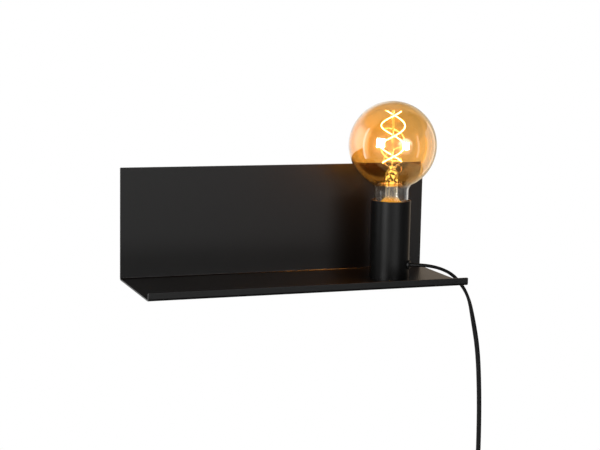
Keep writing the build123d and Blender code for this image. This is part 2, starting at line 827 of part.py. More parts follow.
# Cover: a window for the rocker and two bosses that hold its pin
pivot_y = -half_depth + pivot_depth
window_half = rocker_half + rocker_gap
window_x = rocker_width / 2 + rocker_side_gap / 2
boss_in = rocker_width / 2 + rocker_side_gap
switch_cover = case & front_space
window_y = -cavity_half + cut_margin
switch_cover -= block(-window_x, window_x, -switch_depth, window_y, -window_half, window_half)
for side in (-1, 1):
    boss_x = sorted((side * boss_in, side * (boss_in + pin_boss)))
    boss = block(*boss_x, -cavity_half, pivot_y + pin_d, -pin_boss_half, pin_boss_half)
    switch_cover += boss
pin_half = boss_in + pin_bite
switch_cover -= rod((-pin_half, pivot_y, 0), (pin_half, pivot_y, 0), pin_d)
for x, z in screw_spots:
    switch_cover -= rod((x, -case_screw_bite, z), (x, cut_margin, z), case_screw_d)
export_step(at_switch * switch_cover, "parts/switch_cover.step")

rocker_pin = rod((-pin_half, pivot_y, 0), (pin_half, pivot_y, 0), pin_d)
export_step(at_switch * rocker_pin, "parts/rocker_pin.step")

# Rocker: a shallow roof with a stem round the pin, tilted to its on position
ridge_y = -half_depth - rocker_proud
eave_y = ridge_y + rocker_half * math.tan(math.radians(rocker_tilt))
under_y = ridge_y + rocker_proud + rocker_thick
stem_y = pivot_y + pin_d
half_stem = rocker_stem / 2
rocker_outline = [
    (ridge_y, 0),
    (eave_y, rocker_half),
    (under_y, rocker_half),
    (under_y, half_stem),
    (stem_y, half_stem),
    (stem_y, -half_stem),
    (under_y, -half_stem),
    (under_y, -rocker_half),
    (eave_y, -rocker_half),
]
switch_rocker = extruded_profile(rocker_outline, [], -rocker_width / 2, rocker_width / 2)
switch_rocker -= rod((-rocker_width, pivot_y, 0), (rocker_width, pivot_y, 0), pin_d + 2 * pin_clearance)
at_pivot = Pos(0, pivot_y, 0)
switch_rocker = at_pivot * Rot(rocker_tilt, 0, 0) * Pos(0, -pivot_y, 0) * switch_rocker
export_step(at_switch * switch_rocker, "parts/switch_rocker.step")

# Contacts inside the switch: two brass strips on the floor of the base, each with a button
strips = []
for side in (-1, 1):
    floor_y = cavity_half - contact_strip
    end_z = side * (switch_length / 2 - switch_end)
    strip_z = sorted((end_z, end_z - side * contact_length))
    strip = block(-half_contact, half_contact, floor_y, cavity_half, *strip_z)
    button_z = end_z - side * (contact_length - half_contact)
    strip += rod((0, floor_y - contact_button, button_z), (0, cavity_half, button_z), half_contact)
    strips.append(at_switch * strip)
switch_contacts = Compound(children=strips)
export_step(switch_contacts, "parts/switch_contacts.step")

case_screws = []
for x, z in screw_spots:
    screw = rod((x, -case_screw_bite, z), (x, half_depth - case_head_depth / 2, z), case_screw_d)
    screw += rod((x, half_depth - case_head_depth, z), (x, half_depth - case_head_depth / 4, z), case_head_d)
    case_screws.append(at_switch * screw)
switch_screws = Compound(children=case_screws)
export_step(switch_screws, "parts/switch_screws.step")


# Coiled cord: one tube from the switch, round and round in two layers, then down to the plug
def flat_point(place, across):
    """A point of the coil: (out from the wall, up) in its plane, and how far across the layers."""
    return Vector(switch_x + across, hang_y - place[0], place[1])


def flat_direction(angle):
    """A heading in the plane of the coil, from an angle that turns from out to up."""
    return Vector(0, -math.cos(angle), math.sin(angle))


def turn_about(place, heading, radius, turn):
    """Where an arc from a place and a heading ends: left for a positive turn, right for a negative one."""
    side = math.copysign(1, turn)
    centre = (
        place[0] - side * radius * math.sin(heading),
        place[1] + side * radius * math.cos(heading),
    )
    after = heading + turn
    return (
        centre[0] + side * radius * math.sin(after),
        centre[1] - side * radius * math.cos(after),
    )


def flat_arc(place, heading, radius, turn, across):
    """An arc of the coil within one layer."""
    middle = turn_about(place, heading, radius, turn / 2)
    end = turn_about(place, heading, radius, turn)
    return ThreePointArc(*[flat_point(spot, across) for spot in (place, middle, end)])


def two_arcs(start, start_way, end, end_way):
    """Two arcs that join smoothly, from a point and a direction to a point and a direction."""
    gap = end - start
    both = start_way + end_way
    blend = 2 * (1 - start_way.dot(end_way))
    along = gap.dot(both)
    reach = (math.sqrt(along**2 + blend * gap.dot(gap)) - along) / blend
    middle = (start + end + (start_way - end_way) * reach) * 0.5
    middle_way = (end - end_way * reach - start - start_way * reach).normalized()
    return [TangentArc(start, middle, tangent=start_way), TangentArc(middle, end, tangent=middle_way)]


coil_start = switch_low + switch_end
place = (0.0, coil_start)
heading = -math.pi / 2
straight_end = (0.0, switch_low - coil_lead)
coil_edges = [Line(flat_point(place, 0), flat_point(straight_end, 0))]
place = straight_end
entry_angle = math.radians(entry_turn)
coil_edges.append(flat_arc(place, heading, entry_r, entry_angle, 0))
place = turn_about(place, heading, entry_r, entry_angle)
heading += entry_angle
turn_r = coil_r
for half in range(layer_half_turns):
    coil_edges.append(flat_arc(place, heading, turn_r, -math.pi, 0))
    place = turn_about(place, heading, turn_r, -math.pi)
    heading -= math.pi
    turn_r -= coil_pitch / 2
climb_slope = math.atan2(1.5 * layer_pitch, math.pi * turn_r)
halfway = turn_about(place, heading, turn_r, -math.pi / 2)
climbed = turn_about(place, heading, turn_r, -math.pi)
way_in = flat_direction(heading)
way_mid = flat_direction(heading - math.pi / 2) * math.cos(climb_slope) - Vector(math.sin(climb_slope), 0, 0)
way_out = flat_direction(heading - math.pi)
middle_spot = flat_point(halfway, -layer_pitch / 2)
coil_edges += two_arcs(flat_point(place, 0), way_in, middle_spot, way_mid)
coil_edges += two_arcs(middle_spot, way_mid, flat_point(climbed, -layer_pitch), way_out)
place = climbed
heading -= math.pi
for half in range(layer_half_turns + 1):
    turn_r += coil_pitch / 2
    coil_edges.append(flat_arc(place, heading, turn_r, -math.pi, -layer_pitch))
    place = turn_about(place, heading, turn_r, -math.pi)
    heading -= math.pi
turn_r += coil_pitch / 2
coil_edges.append(flat_arc(place, heading, turn_r, -entry_angle, -layer_pitch))
place = turn_about(place, heading, turn_r, -entry_angle)
plug_top = place[1] - plug_drop - relief_length
coil_edges.append(Line(flat_point(place, -layer_pitch), flat_point((place[0], plug_top), -layer_pitch)))
coil_path = Wire(coil_edges)
coil_section = Plane(origin=coil_path @ 0, z_dir=coil_path % 0) * Circle(cord_d / 2)
cord_coil = sweep(coil_section, path=coil_path)
export_step(cord_coil, "parts/cord_coil.step")

sample_count = 900
samples = [coil_path @ (step / sample_count) for step in range(sample_count + 1)]
spacing = coil_path.length / sample_count
apart = math.ceil(4 * cord_d / spacing)
least = min(
    (samples[first] - samples[second]).length
    for first in range(len(samples))
    for second in range(first + apart, len(samples))
)
print("cord_coil length", round(coil_path.length, 1), "least gap to itself", round(least - cord_d, 2))
coil_expected = math.pi * cord_d**2 / 4 * coil_path.length
print("cord_coil volume over section times length", round(cord_coil.volume / coil_expected, 4))

# Tie: a strap round the bundle of turns, across from the plug
coil_box = cord_coil.bounding_box()
ring_edge_y = coil_box.max.Y
bundle_y = (layer_half_turns / 2 + 0.5) * coil_pitch + cord_d
ring_samples = [spot for spot in samples if spot.Y > ring_edge_y - bundle_y]
tie_z = max(samples, key=lambda spot: spot.Y).Z
level_spots = [spot for spot in ring_samples if abs(spot.Z - tie_z) < tie_width / 2]
tie_in_y = min(spot.Y for spot in level_spots) - cord_d / 2 - tie_gap
tie_out_y = max(spot.Y for spot in level_spots) + cord_d / 2 + tie_gap
tie_low_x = switch_x - layer_pitch - cord_d / 2 - tie_gap
tie_high_x = switch_x + cord_d / 2 + tie_gap
half_tie = tie_width / 2
cord_tie = block(
    tie_low_x - tie_sheet,
    tie_high_x + tie_sheet,
    tie_in_y - tie_sheet,
    tie_out_y + tie_sheet,
    tie_z - half_tie,
    tie_z + half_tie,
)
cord_tie -= block(tie_low_x, tie_high_x, tie_in_y, tie_out_y, tie_z - tie_width, tie_z + tie_width)
export_step(cord_tie, "parts/cord_tie.step")

# Plug: a flat two-pin body with a tapered relief, hanging from the end of the cord
plug_spot = flat_point((place[0], plug_top), -layer_pitch)
at_plug = Pos(plug_spot.X, plug_spot.Y, plug_top)
half_plug = plug_width / 2
plug_outline = [
    (-plug_neck / 2, 0),
    (plug_neck / 2, 0),
    (half_plug, plug_shoulder - plug_length),
    (half_plug, -plug_length),
    (-half_plug, -plug_length),
    (-half_plug, plug_shoulder - plug_length),
]
plug_face = make_face(Polyline(*[(x, 0, z) for x, z in plug_outline], close=True))
plug_body = extrude(plug_face, plug_depth / 2, dir=(0, 1, 0), both=True)
plug_body = fillet(plug_body.faces().sort_by(Axis.Y)[0].edges(), plug_round)
plug_body = fillet(plug_body.faces().sort_by(Axis.Y)[-1].edges(), plug_round)
for side in (-1, 1):
    prong_x = side * prong_spacing / 2
    plug_body -= rod((prong_x, 0, -plug_length - cut_margin), (prong_x, 0, prong_bite - plug_length), prong_d)
export_step(at_plug * plug_body, "parts/plug_body.step")

plug_relief = turned(
    [
        (cord_d / 2, 0),
        (relief_wide_d / 2, 0),
        (relief_narrow_d / 2, relief_length),
        (cord_d / 2, relief_length),
    ]
)
export_step(at_plug * plug_relief, "parts/plug_relief.step")

prongs = []
sleeves = []
for side in (-1, 1):
    prong_x = side * prong_spacing / 2
    sleeve_end = -plug_length - prong_sleeve_length
    prong_end = -plug_length - prong_length
    prong = rod((prong_x, 0, prong_end), (prong_x, 0, prong_bite - plug_length), prong_d)
    tip_edges = prong.edges().filter_by(GeomType.CIRCLE).group_by(Axis.Z)[0]
    prong = fillet(tip_edges, (prong_d - prong_flat_d) / 2)
    sleeve = rod((prong_x, 0, sleeve_end), (prong_x, 0, -plug_length), prong_d)
    sleeve -= rod((prong_x, 0, sleeve_end - cut_margin), (prong_x, 0, 0), prong_d - 2 * prong_sleeve_wall)
    prongs.append(at_plug * (prong - sleeve))
    sleeves.append(at_plug * sleeve)
plug_pins = Compound(children=prongs)
export_step(plug_pins, "parts/plug_pins.step")
pin_sleeves = Compound(children=sleeves)
export_step(pin_sleeves, "parts/pin_sleeves.step")
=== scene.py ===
import bpy
import math
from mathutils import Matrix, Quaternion, Vector


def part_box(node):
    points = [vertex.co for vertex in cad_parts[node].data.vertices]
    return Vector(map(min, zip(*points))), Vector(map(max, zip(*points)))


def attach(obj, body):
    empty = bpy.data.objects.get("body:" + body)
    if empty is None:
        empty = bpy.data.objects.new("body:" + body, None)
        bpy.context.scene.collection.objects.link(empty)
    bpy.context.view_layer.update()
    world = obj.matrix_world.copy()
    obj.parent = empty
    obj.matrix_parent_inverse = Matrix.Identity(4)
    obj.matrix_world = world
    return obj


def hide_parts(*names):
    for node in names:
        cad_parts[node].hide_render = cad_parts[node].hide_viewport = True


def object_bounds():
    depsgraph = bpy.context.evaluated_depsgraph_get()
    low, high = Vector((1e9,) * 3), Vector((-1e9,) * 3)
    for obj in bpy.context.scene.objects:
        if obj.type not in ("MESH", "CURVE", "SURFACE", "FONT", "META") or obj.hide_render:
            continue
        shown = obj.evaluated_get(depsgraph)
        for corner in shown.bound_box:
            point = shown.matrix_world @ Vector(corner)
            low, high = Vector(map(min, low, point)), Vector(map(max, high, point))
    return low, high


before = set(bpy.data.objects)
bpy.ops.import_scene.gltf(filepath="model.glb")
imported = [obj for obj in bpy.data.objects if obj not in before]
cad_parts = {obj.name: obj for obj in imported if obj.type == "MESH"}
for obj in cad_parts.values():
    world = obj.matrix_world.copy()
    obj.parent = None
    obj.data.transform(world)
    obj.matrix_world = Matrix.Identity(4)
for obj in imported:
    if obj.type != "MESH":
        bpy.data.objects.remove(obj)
cad_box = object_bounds()


# Wall bar: a strip of zinc-plated steel with a step pressed along its upper edge. Two screws hold it
# flat to the wall, and the lamp hooks over the step. The other plain steel pieces share its finish.
class Wire:
    """A socket of a material's nodes. Sums and products of wires add Math nodes to the material."""

    def __init__(self, tree, socket):
        self.tree = tree
        self.socket = socket

    def node(self, kind, settings, sockets, output=0):
        """Add a node: its settings first, then the values or wires of its sockets."""
        added = self.tree.nodes.new(kind)
        for name, value in settings.items():
            setattr(added, name, value)
        for name, value in sockets.items():
            if isinstance(value, Wire):
                self.tree.links.new(value.socket, added.inputs[name])
            else:
                added.inputs[name].default_value = value
        return Wire(self.tree, added.outputs[output])

    def feed(self, shader, name):
        """Lead this wire into a socket of the shader."""
        self.tree.links.new(self.socket, shader.inputs[name])

    def math(self, operation, first, second=0.0):
        return self.node("ShaderNodeMath", {"operation": operation}, {0: first, 1: second})

    def __add__(self, other):
        return self.math("ADD", self, other)

    def __sub__(self, other):
        return self.math("SUBTRACT", self, other)

    def __rsub__(self, other):
        return self.math("SUBTRACT", other, self)

    def __mul__(self, other):
        return self.math("MULTIPLY", self, other)

    def __or__(self, other):
        """The larger of the two."""
        return self.math("MAXIMUM", self, other)

    def __abs__(self):
        return self.math("ABSOLUTE", self)

    __radd__ = __add__
    __rmul__ = __mul__

    def along(self, axis):
        """One coordinate of a place, as a number."""
        return self.node("ShaderNodeSeparateXYZ", {}, {0: self}, output="XYZ".index(axis))

    def stretched(self, x, y, z):
        """A place with each coordinate scaled, for a pattern that is finer one way than another."""
        return self.node("ShaderNodeVectorMath", {"operation": "MULTIPLY"}, {0: self, 1: (x, y, z)})

    def noise(self, per_metre, detail=2.0):
        """A cloudy pattern over a place, from 0 to 1."""
        return self.node("ShaderNodeTexNoise", {}, {"Vector": self, "Scale": per_metre, "Detail": detail})

    def rise(self, low, high):
        """A smooth step from 0 at one level to 1 at another."""
        levels = {"Value": self, "From Min": low, "From Max": high}
        return self.node("ShaderNodeMapRange", {"interpolation_type": "SMOOTHSTEP"}, levels)

    def blend(self, first, second):
        """The colour between two colours that this mask picks."""
        return self.node("ShaderNodeMix", {"data_type": "RGBA"}, {0: self, 6: first, 7: second}, output=2)

    def bump(self, depth, strength=1.0):
        """A normal that follows this height."""
        return self.node("ShaderNodeBump", {}, {"Height": self, "Distance": depth, "Strength": strength})


def new_finish(name, values):
    """A new material: its shader, with what is the same all over, and a wire of where a point lies."""
    material = bpy.data.materials.new(name)
    material.use_nodes = True
    tree = material.node_tree
    shader = tree.nodes["Principled BSDF"]
    for socket, value in values.items():
        shader.inputs[socket].default_value = value
    places = tree.nodes.new("ShaderNodeTexCoord")
    return material, shader, Wire(tree, places.outputs["Object"])


def grey(level):
    return (level, level, level, 1.0)


def dress(material, *nodes):
    """Give solids of the frame a finish."""
    for node in nodes:
        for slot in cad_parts[node].material_slots:
            slot.material = material


zinc, shader, place = new_finish("zinc_plated_steel", {"Metallic": 1.0})
streaks = place.stretched(40.0, 900.0, 900.0).noise(1.0, 4.0)
clouds = place.noise(90.0, 3.0)
clouds.blend((0.40, 0.40, 0.39, 1.0), (0.62, 0.62, 0.60, 1.0)).feed(shader, "Base Color")
(0.26 + 0.22 * streaks + 0.08 * clouds).feed(shader, "Roughness")
streaks.bump(0.00003).feed(shader, "Normal")
dress(zinc, "wall_bar")

# Folded shelf and hanger rail: one steel sheet bent into plate, shelf and lip, with a hook strip
# spot-welded to its back. Both went through the oven together under one coat of black powder.
coat_dark = grey(0.0018)
coat_light = grey(0.0027)
coat_worn = grey(0.014)
edge_wear = 0.0007
shelf_low, shelf_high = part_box("folded_shelf")
lip_height = 0.0083
lip_top = shelf_low.z + lip_height
lip_near, lip_clear = shelf_low.y + 0.003, shelf_low.y + 0.004


def powder_coat(name, worn=None):
    """Black powder coat with its orange peel, greyer where a mask says worn."""
    coat, shader, place = new_finish(name, {"Specular IOR Level": 0.36})
    peel = place.noise(900.0)
    grain = place.noise(4200.0, 1.0)
    clouds = place.noise(16.0, 3.0)
    colour = clouds.blend(coat_dark, coat_light)
    if worn:
        colour = (worn(place) * (0.4 + 0.6 * peel)).blend(colour, coat_worn)
    colour.feed(shader, "Base Color")
    (0.27 + 0.08 * peel + 0.05 * clouds).feed(shader, "Roughness")
    (peel + 0.5 * grain).bump(0.00005, 0.7).feed(shader, "Normal")
    return coat


def sheet_edges(place):
    """The cut edges of the sheet: both ends, the top of the plate and the top of the lip."""
    ends = abs(place.along("X")).rise(shelf_high.x - edge_wear, shelf_high.x)
    top = place.along("Z").rise(shelf_high.z - edge_wear, shelf_high.z)
    in_lip = 1 - place.along("Y").rise(lip_near, lip_clear)
    lip = place.along("Z").rise(lip_top - edge_wear, lip_top) * in_lip
    return ends | top | lip


dress(powder_coat("shelf_powder_coat", sheet_edges), "folded_shelf")
dress(powder_coat("rail_powder_coat"), "hanger_rail")

# Bumpers: two pads of soft black rubber, stuck to the back of the plate near its foot. They hold it
# off the wall and keep the lamp from rattling.
rubber, shader, place = new_finish("bumper_rubber", {"Specular IOR Level": 0.3})
dust = place.noise(300.0, 4.0)
dust.blend(grey(0.006), grey(0.012)).feed(shader, "Base Color")
(0.62 + 0.2 * dust).feed(shader, "Roughness")
place.noise(2600.0).bump(0.00004).feed(shader, "Normal")
dress(rubber, "wall_bumpers")

# Sleeve: a length of steel tube under the same black powder. It stands on the shelf, and a cross hole
# low on its right, turned toward the front, takes the cord's bush.
sleeve_low, sleeve_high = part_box("lamp_sleeve")
sleeve_axis = (sleeve_low + sleeve_high) / 2
rim_wear = 0.0005


def rim_edge(place):
    """The rounded rim of the sleeve."""
    return place.along("Z").rise(sleeve_high.z - rim_wear, sleeve_high.z)


dress(powder_coat("sleeve_powder_coat", rim_edge), "lamp_sleeve")

# Foot, bracket and fixings: a disc pressed into the tube, a bent strip that carries the lampholder,
# and the screws, washer and nut that clamp it all to the shelf. All zinc-plated steel.
dress(zinc, "sleeve_base", "holder_bracket", "fixing_washer", "fixing_screw", "fixing_nut", "holder_screws")

# Lampholder: a cup of glazed porcelain, pressed and fired in one piece. A brass shell with a rolled
# thread sits in it, over a sprung centre contact and a side contact with push-on terminals.
porcelain, shader, place = new_finish("glazed_porcelain", {"Coat Weight": 0.5, "Coat Roughness": 0.08})
specks = place.noise(700.0, 3.0).rise(0.62, 0.72)
cast = place.noise(60.0)
body = cast.blend((0.80, 0.78, 0.73, 1.0), (0.87, 0.86, 0.82, 1.0))
(0.35 * specks).blend(body, (0.52, 0.47, 0.40, 1.0)).feed(shader, "Base Color")
(0.16 + 0.16 * cast).feed(shader, "Roughness")
place.noise(240.0).bump(0.00008, 0.5).feed(shader, "Normal")
dress(porcelain, "holder_body")

brass, shader, place = new_finish("stamped_brass", {"Metallic": 1.0})
tarnish = place.noise(160.0, 4.0)
scratches = place.stretched(2400.0, 2400.0, 120.0).noise(1.0, 3.0)
tarnish.blend((0.78, 0.57, 0.25, 1.0), (0.52, 0.35, 0.14, 1.0)).feed(shader, "Base Color")
(0.20 + 0.25 * scratches).feed(shader, "Roughness")
scratches.bump(0.00002).feed(shader, "Normal")
dress(brass, "screw_shell", "centre_contact", "side_contact", "wire_terminals")

# Cap of the bulb: a nickel-plated shell with the screw thread rolled into it, closed below by black
# glass with a soldered tip, and inside it the driver under its potting.
nickel, shader, place = new_finish("nickel_plate", {"Metallic": 1.0})
haze = place.noise(220.0, 4.0)
haze.blend((0.70, 0.68, 0.63, 1.0), (0.56, 0.54, 0.50, 1.0)).feed(shader, "Base Color")
(0.14 + 0.22 * haze).feed(shader, "Roughness")
place.noise(1500.0).bump(0.00002).feed(shader, "Normal")
dress(nickel, "bulb_cap")

solder, shader, place = new_finish("solder", {"Metallic": 1.0})
ripple = place.noise(900.0, 3.0)
ripple.blend(grey(0.42), grey(0.66)).feed(shader, "Base Color")
(0.25 + 0.2 * ripple).feed(shader, "Roughness")
ripple.bump(0.0002).feed(shader, "Normal")
dress(solder, "bulb_tip")

cap_glass, shader, place = new_finish("black_cap_glass", {"Coat Weight": 0.6, "Coat Roughness": 0.05})
swirl = place.noise(500.0, 3.0)
swirl.blend(grey(0.006), grey(0.02)).feed(shader, "Base Color")
(0.10 + 0.15 * swirl).feed(shader, "Roughness")
swirl.bump(0.0001, 0.5).feed(shader, "Normal")
dress(cap_glass, "bulb_insulator")

potting, shader, place = new_finish("driver_potting", {"Specular IOR Level": 0.4})
lumps = place.noise(420.0, 3.0)
lumps.blend((0.62, 0.57, 0.46, 1.0), (0.78, 0.74, 0.64, 1.0)).feed(shader, "Base Color")
(0.35 + 0.25 * lumps).feed(shader, "Roughness")
lumps.bump(0.0005).feed(shader, "Normal")
dress(potting, "bulb_driver")

# Globe, stem and rod: blown glass. An amber film inside the ball thins out to clear glass at the neck,
# with fine hazy spots that roughen it. A painted amber glow in the film, most on its left, stands in for
# the filaments' light scattered in the glass. The stem is a clear tube sealed to the foot of the globe
# and pinched at its top, where a thin drawn rod stands on it.
amber_left = (1.0, 0.64, 0.21, 1.0)
amber_right = (0.97, 0.70, 0.34, 1.0)
painted_amber_glow = (0.050, 0.012, 0.003, 1.0)
clear = (0.96, 0.95, 0.92, 1.0)
film_foot, film_full = 0.0185, 0.0215
glow_foot, glow_full = 0.034, 0.060
crown_low, crown_high = 0.070, 0.105
lustre = {
    "Transmission Weight": 1.0,
    "IOR": 1.5,
    "Coat IOR": 1.75,
    "Coat Roughness": 0.0,
    "Emission Strength": 1.0,
}
globe_glass, shader, place = new_finish("amber_globe_glass", lustre)
from_axis = place.along("X") - sleeve_axis.x
height = place.along("Z")
drift = 0.001 * place.noise(60.0)
film = (height + drift).rise(film_foot, film_full)
amber = from_axis.rise(-0.04, 0.04).blend(amber_left, amber_right)
film.blend(clear, amber).feed(shader, "Base Color")
hazy = place.noise(60000.0, 0.0).rise(0.76, 0.77)
(0.12 + film * (0.30 * hazy - 0.12)).feed(shader, "Roughness")
film.feed(shader, "Coat Weight")
# Painted glow: amber emission on the film's left, from glow_foot up to the crown, stands in for scattered
# filament light.
on_left = 1 - from_axis.rise(-0.02, 0.035)
below_crown = 1 - height.rise(crown_low, crown_high)
painted_glow_mask = height.rise(glow_foot, glow_full) * below_crown * on_left
painted_glow_mask.blend(grey(0.0), painted_amber_glow).feed(shader, "Emission Color")
dress(globe_glass, "bulb_globe")

# Painted light: glowing lumps and dark painted shade at the pinch, faint glowing streaks, and a gold glow
# at the foot.
stem_clear = (0.95, 0.93, 0.88, 1.0)
painted_stem_shade = (0.10, 0.06, 0.02, 1.0)
painted_foot_glow_tint = (0.75, 0.45, 0.08, 1.0)
painted_streak_glow = (0.16, 0.13, 0.08, 1.0)
painted_pinch_glow = (0.80, 0.70, 0.36, 1.0)
painted_foot_glow = (0.19, 0.115, 0.004, 1.0)
pinch_low, pinch_high = 0.018, 0.021
foot_low, foot_high = 0.002, 0.006
tube = {"Transmission Weight": 1.0, "IOR": 1.3, "Emission Strength": 1.0}
stem_glass, shader, place = new_finish("clear_stem_glass", tube)
height = place.along("Z")
lumps = place.noise(360.0, 3.0)
streaks = place.stretched(330.0, 330.0, 12.0).noise(1.0, 2.0)
pinch = height.rise(pinch_low, pinch_high)
foot = 1 - height.rise(foot_low, foot_high)
painted_bright_lumps = lumps.rise(0.47, 0.55)
glass = (pinch * (1 - painted_bright_lumps)).blend(stem_clear, painted_stem_shade)
foot.blend(glass, painted_foot_glow_tint).feed(shader, "Base Color")
(0.20 - 0.18 * pinch).feed(shader, "Roughness")
(lumps * pinch + 0.1 * streaks).bump(0.0025).feed(shader, "Normal")
painted_stem_glow = streaks.rise(0.52, 0.62).blend(grey(0.0), painted_streak_glow)
painted_stem_glow = (pinch * painted_bright_lumps).blend(painted_stem_glow, painted_pinch_glow)
foot.blend(painted_stem_glow, painted_foot_glow).feed(shader, "Emission Color")
dress(stem_glass, "bulb_stem")

# Painted glow: streaks of warm emission along the rod stand in for filament light caught in the glass.
painted_rod_faint_glow = (0.02, 0.01, 0.0, 1.0)
painted_rod_glow = (0.42, 0.33, 0.14, 1.0)
drawn_rod = {"Transmission Weight": 1.0, "IOR": 1.5, "Emission Strength": 1.0}
rod_glass, shader, place = new_finish("drawn_rod_glass", drawn_rod)
draw = place.stretched(400.0, 400.0, 30.0).noise(1.0, 2.0)
draw.blend((0.97, 0.96, 0.92, 1.0), (0.93, 0.91, 0.86, 1.0)).feed(shader, "Base Color")
(0.04 * draw).feed(shader, "Roughness")
draw.rise(0.42, 0.58).blend(painted_rod_faint_glow, painted_rod_glow).feed(shader, "Emission Color")
dress(rod_glass, "glass_rod")

# Filaments: two strips of tiny light-emitting chips under yellow phosphor, wound round each other
# between welded wires. They are lit, and a soft lamp among them throws their light on the sheet.
phosphor, shader, place = new_finish("lit_phosphor", {"Emission Strength": 14.0, "Roughness": 0.6})
chips = place.noise(1400.0, 1.0)
chips.blend((1.0, 0.80, 0.52, 1.0), (1.0, 0.90, 0.72, 1.0)).feed(shader, "Emission Color")
chips.blend((0.85, 0.60, 0.20, 1.0), (0.95, 0.75, 0.35, 1.0)).feed(shader, "Base Color")
dress(phosphor, "filament_a", "filament_b")
for strand in ("filament_a", "filament_b"):
    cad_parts[strand].visible_diffuse = False

wire_finish, shader, place = new_finish("lead_wire", {"Metallic": 1.0})
drawn = place.noise(1800.0)
drawn.blend((0.60, 0.57, 0.52, 1.0), (0.74, 0.70, 0.62, 1.0)).feed(shader, "Base Color")
(0.25 + 0.15 * drawn).feed(shader, "Roughness")
dress(wire_finish, "filament_frame")


def leave_out(light, kind, nodes):
    """Keep a lamp from lighting some solids, or from being blocked by them."""
    group = bpy.data.collections.new(light.name + "_" + kind)
    for node in nodes:
        group.objects.link(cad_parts[node])
    for entry in group.collection_objects:
        entry.light_linking.link_state = "EXCLUDE"
    setattr(light.light_linking, kind, group)


filament_low, filament_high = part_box("filament_a")
glow = bpy.data.lights.new("filament_glow", "POINT")
glow.color = (1.0, 0.34, 0.04)
glow.energy = 1.2
glow.shadow_soft_size = 0.02
glow_lamp = bpy.data.objects.new("filament_glow", glow)
glow_lamp.location = (sleeve_axis.x, sleeve_axis.y, (filament_low.z + filament_high.z) / 2)
bpy.context.scene.collection.objects.link(glow_lamp)
lit_bulb = ["bulb_globe", "bulb_stem", "glass_rod", "filament_a", "filament_b", "filament_frame"]
leave_out(glow_lamp, "blocker_collection", lit_bulb)
leave_out(glow_lamp, "receiver_collection", lit_bulb)

# Bush: a short moulded strain relief, snapped into the sleeve's cross hole. It shares the finish of
# the switch, which is the same black plastic with a fine spark-eroded grain.
plastic, shader, place = new_finish("moulded_black_plastic", {"Specular IOR Level": 0.42})
eroded = place.noise(3400.0, 1.0)
shade = place.noise(45.0, 3.0)
shade.blend(grey(0.004), grey(0.007)).feed(shader, "Base Color")
(0.40 + 0.14 * eroded).feed(shader, "Roughness")
eroded.bump(0.00005).feed(shader, "Normal")
dress(plastic, "cord_bush", "switch_base", "switch_cover", "switch_rocker", "pin_sleeves")

# Cores inside the sleeve: brown and blue insulation over copper, from the stripped end of the cord up
# to the terminals.
for name, dark, light, node in (
    ("brown_insulation", (0.11, 0.035, 0.012, 1.0), (0.19, 0.065, 0.025, 1.0), "live_core"),
    ("blue_insulation", (0.010, 0.055, 0.22, 1.0), (0.025, 0.10, 0.34, 1.0), "neutral_core"),
):
    insulation, shader, place = new_finish(name, {"Specular IOR Level": 0.5})
    tint = place.noise(260.0)
    tint.blend(dark, light).feed(shader, "Base Color")
    (0.28 + 0.15 * tint).feed(shader, "Roughness")
    dress(insulation, node)

# Cord: a flat lead of soft black PVC in one length. It leaves the bush, drops over the end of the shelf,
# twists to show its broad side, runs through the switch and is wound into a coil above the plug.
cord_width = 0.0055
cord_thickness = 0.0035
cord_start = (0.1177, -0.0737, -0.0676)
cord_exit = (0.1278, -0.0822, -0.0676)
switch_x, cord_y = 0.2139, -0.0930
hanging_route = [
    (0.1440, -0.0670),
    (0.1620, -0.0718),
    (0.1772, -0.0802),
    (0.1942, -0.1014),
    (0.2013, -0.1299),
    (0.2087, -0.1653),
    (0.2126, -0.2165),
    (0.2139, -0.2650),
    (0.2139, -0.3130),
]
switch_middle, switch_foot = -0.3350, -0.3570
behind_rocker = 0.0012
points = [Vector(cord_start), Vector(cord_exit)]
points += [Vector((x, cord_y, z)) for x, z in hanging_route]
points.append(Vector((switch_x, cord_y + behind_rocker, switch_middle)))
points.append(Vector((switch_x, cord_y, switch_foot)))

entry_r, entry_turn = 0.0220, math.radians(50)
coil_r, coil_pitch = 0.0360, 0.0052
layer_pitch, half_turns = 0.0056, 5
steps_per_half = 10
coil_start = -0.3700
walk = {"out": 0.0, "up": coil_start, "heading": -math.pi / 2, "across": 0.0}


def put_point():
    """Add the place that the walk has come to."""
    points.append(Vector((switch_x + walk["across"], cord_y - walk["out"], walk["up"])))


def wind(radius, turn, across=0.0):
    """Carry the cord round part of a circle, to the left for a positive turn, in equal steps."""
    steps = math.ceil(abs(turn) / math.pi * steps_per_half)
    side = math.copysign(1, turn)
    for step in range(steps):
        before = walk["heading"]
        walk["heading"] += turn / steps
        walk["out"] += side * radius * (math.sin(walk["heading"]) - math.sin(before))
        walk["up"] -= side * radius * (math.cos(walk["heading"]) - math.cos(before))
        walk["across"] += across / steps
        put_point()


put_point()
wind(entry_r, entry_turn)
turn_r = coil_r
for half in range(half_turns):
    wind(turn_r, -math.pi)
    turn_r -= coil_pitch / 2
wind(turn_r, -math.pi, across=-layer_pitch)
for half in range(half_turns + 1):
    turn_r += coil_pitch / 2
    wind(turn_r, -math.pi)
wind(turn_r + coil_pitch / 2, -entry_turn)
plug_low, plug_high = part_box("plug_body")
walk["up"] = (walk["up"] + plug_high.z) / 2
put_point()
walk["up"] = plug_high.z
put_point()

